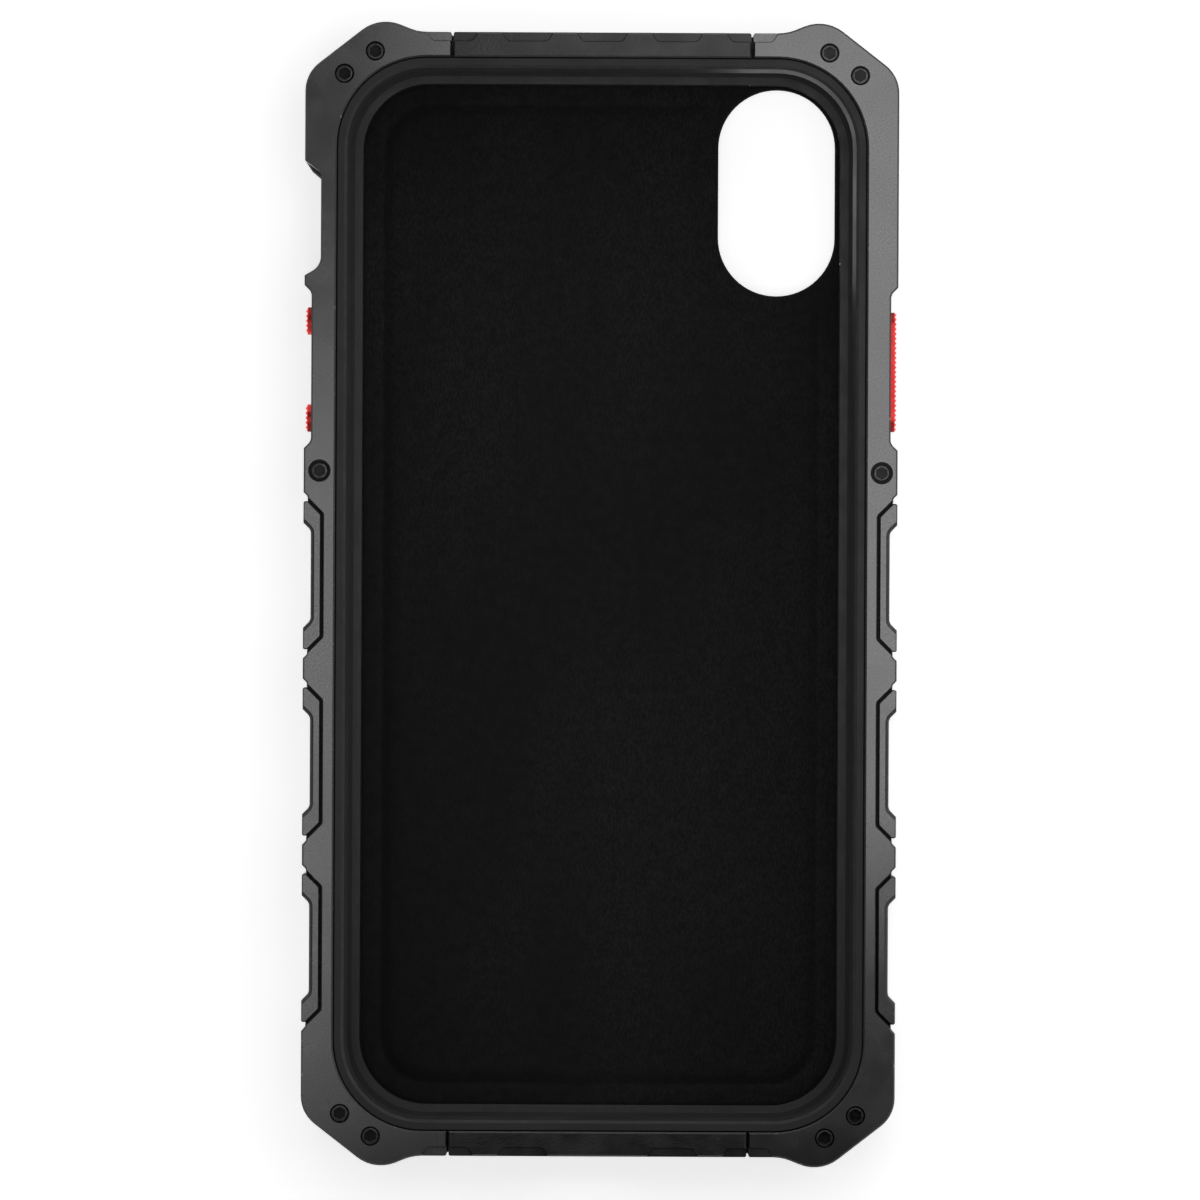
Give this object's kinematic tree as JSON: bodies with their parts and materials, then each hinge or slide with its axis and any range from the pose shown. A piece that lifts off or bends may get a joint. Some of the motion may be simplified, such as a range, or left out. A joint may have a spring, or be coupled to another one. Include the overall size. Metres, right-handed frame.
{
  "type": "phone case",
  "caption": "Rugged screwed phone case: metal front rails, polymer bridges, clip-on grip pads, soft liner and knurled push buttons.",
  "frame": {"origin": "on the resting plane, under the middle of the case, which lies on its back", "axes": "+X to the right and +Y towards the phone's top as seen from the screen side; +Z out of the screen"},
  "size_m": [0.0792, 0.1526, 0.014],
  "materials": {
    "rail_metal": "fine bead-blasted, dark gunmetal anodised",
    "grip_polymer": "fine matt grain, the same gunmetal colour as the rails",
    "bridge_polymer": "fine spark-eroded grain",
    "frame_polymer": "fine moulded grain",
    "back_composite": "fine woven glass-fibre texture, matt",
    "ring_metal": "turned and anodised",
    "lining_fabric": "microfibre nap",
    "liner_rubber": "soft, matt",
    "lip_rubber": "soft, satin",
    "button_red": "knurled, red anodised",
    "key_silicone": "soft, matt",
    "screw_steel": "black oxide",
    "insert_brass": "turned"
  },
  "bodies": {
    "case": {"back_lining": "lining_fabric", "back_plate": "back_composite", "camera_ring": "ring_metal", "corner_screws": "screw_steel", "frame_inserts": "insert_brass", "front_bridge_bottom": "bridge_polymer", "front_bridge_top": "bridge_polymer", "front_rail_left": "rail_metal", "front_rail_right": "rail_metal", "grip_pad_left_1": "grip_polymer", "grip_pad_left_2": "grip_polymer", "grip_pad_left_3": "grip_polymer", "grip_pad_right_1": "grip_polymer", "grip_pad_right_2": "grip_polymer", "grip_pad_right_3": "grip_polymer", "lip_ring": "lip_rubber", "rear_frame": "frame_polymer", "shock_liner": "liner_rubber", "side_screws": "screw_steel"},
    "volume_up": {"volume_up_button": "button_red", "volume_up_key_pad": "key_silicone"},
    "volume_down": {"volume_down_button": "button_red", "volume_down_key_pad": "key_silicone"},
    "power": {"power_button": "button_red", "power_key_pad": "key_silicone"}
  },
  "joints": [
    {"name": "volume_up_press", "type": "slide", "parent": "case", "child": "volume_up", "axis": [1, 0, 0], "range_m": [0, 0.0004], "stiffness_N_per_m": 3000, "springref_m": -0.0004},
    {"name": "volume_down_press", "type": "slide", "parent": "case", "child": "volume_down", "axis": [1, 0, 0], "range_m": [0, 0.0004], "stiffness_N_per_m": 3000, "springref_m": -0.0004},
    {"name": "power_press", "type": "slide", "parent": "case", "child": "power", "axis": [-1, 0, 0], "range_m": [0, 0.0004], "stiffness_N_per_m": 3000, "springref_m": -0.0004}
  ]
}
